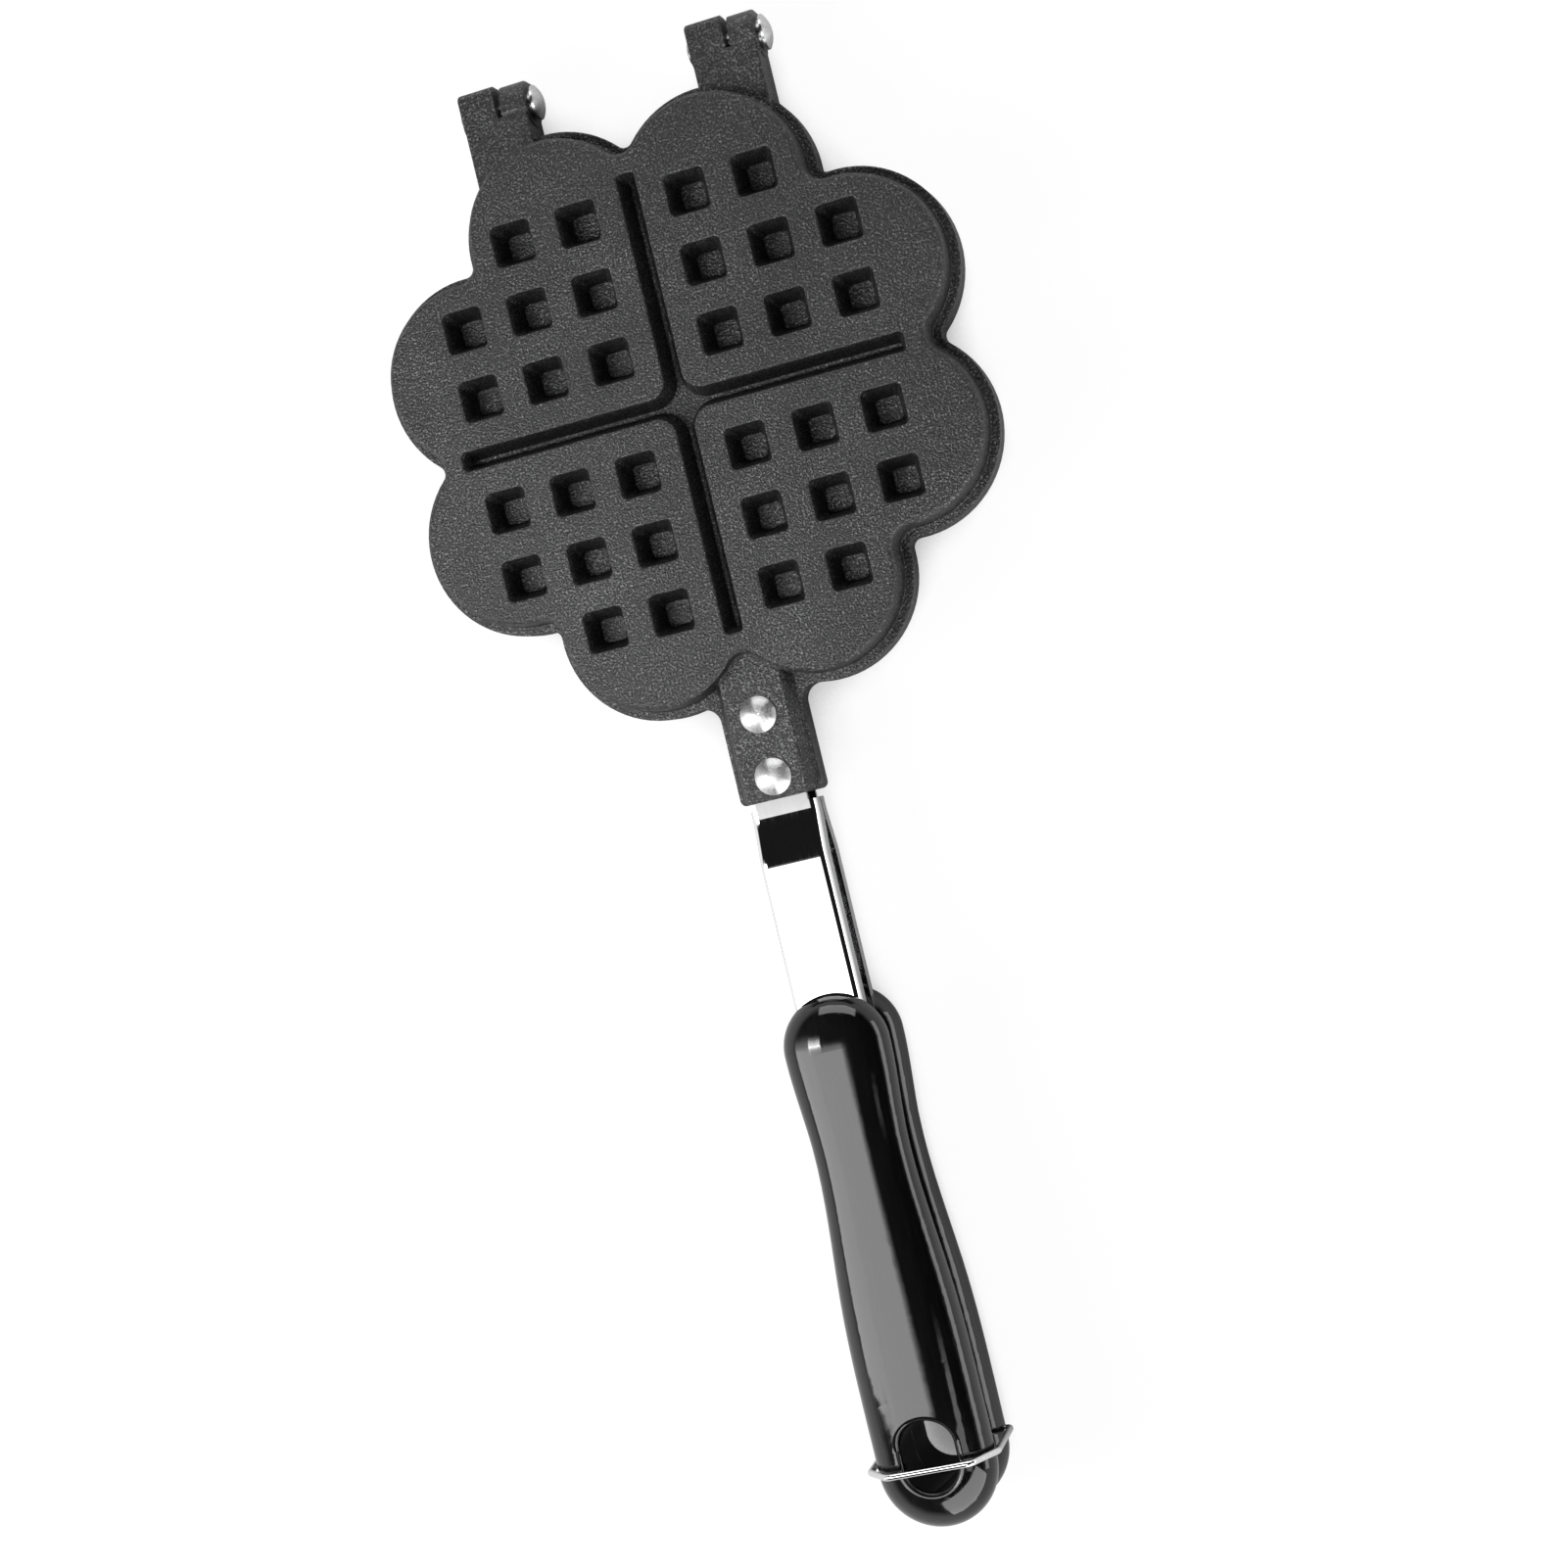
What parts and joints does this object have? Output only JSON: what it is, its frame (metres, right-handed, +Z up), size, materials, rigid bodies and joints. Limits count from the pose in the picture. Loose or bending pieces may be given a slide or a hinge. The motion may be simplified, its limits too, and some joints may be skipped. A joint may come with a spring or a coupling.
{
  "type": "waffle pan",
  "caption": "Hinged stovetop waffle pan with lobed heart-pattern cast plates, riveted steel straps, moulded grips with a hang hole and a wire bail that locks them.",
  "frame": {"origin": "middle of the pan on the plane of the lower casting's flat stove face", "axes": "+X along the hinge pins, +Y from the grips to the hinge, +Z up through both plates"},
  "size_m": [0.1456, 0.364, 0.0366],
  "materials": {
    "coated_casting": "cast aluminium under a dark grey, finely speckled non-stick coating",
    "strap_chrome": "bright mirror plating",
    "rivet_steel": "bright turned steel",
    "pin_steel": "bright turned steel",
    "grip_plastic": "glossy black moulded phenolic plastic",
    "bail_wire": "bright drawn wire"
  },
  "bodies": {
    "lower_half": {"lower_plate": "coated_casting", "lower_strap": "strap_chrome", "lower_rivet_rear": "rivet_steel", "lower_rivet_front": "rivet_steel", "lower_grip": "grip_plastic", "hinge_pin_left": "pin_steel", "hinge_pin_right": "pin_steel"},
    "upper_half": {"upper_plate": "coated_casting", "upper_strap": "strap_chrome", "upper_rivet_rear": "rivet_steel", "upper_rivet_front": "rivet_steel", "upper_grip": "grip_plastic"},
    "bail": {"locking_bail": "bail_wire"}
  },
  "joints": [
    {"name": "pan_hinge", "type": "hinge", "parent": "lower_half", "child": "upper_half", "pos_m": [0, 0.0818, 0.0113], "axis": [-1, 0, 0], "range_deg": [0, 130]},
    {"name": "bail_swing", "type": "hinge", "parent": "lower_half", "child": "bail", "pos_m": [0, -0.2598, 0.003], "axis": [1, 0, 0], "range_deg": [0, 240]}
  ]
}
